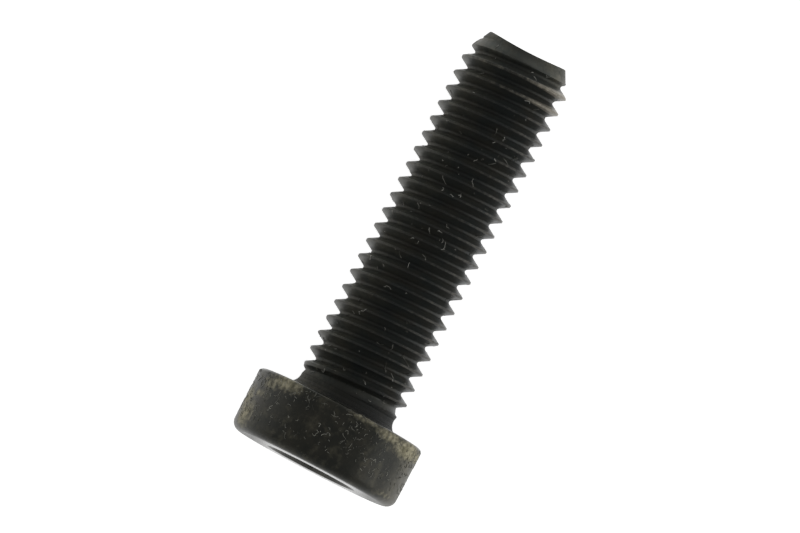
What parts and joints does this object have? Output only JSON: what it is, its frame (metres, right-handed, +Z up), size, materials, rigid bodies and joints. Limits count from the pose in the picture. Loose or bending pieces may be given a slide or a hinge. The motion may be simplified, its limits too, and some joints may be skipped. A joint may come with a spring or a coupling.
{
  "type": "low head socket cap screw",
  "caption": "Low head cap screw with a hexagon socket in a flat cylindrical head, a short neck, a coarse right-hand thread along the shank and a chamfered tip.",
  "frame": {"origin": "on the screw's axis in the plane of the head's bearing face", "axes": "+X along the surface from the head towards the tip, +Z up from the surface that the screw lies on. The screw's own axis dips 5.34 degrees below +X towards the tip."},
  "size_m": [0.0414, 0.0158, 0.0161],
  "materials": {
    "black_oxide_steel": "black oxide over alloy steel, satin and dusty"
  },
  "bodies": {
    "root": {"cap_screw": "black_oxide_steel"}
  },
  "joints": []
}
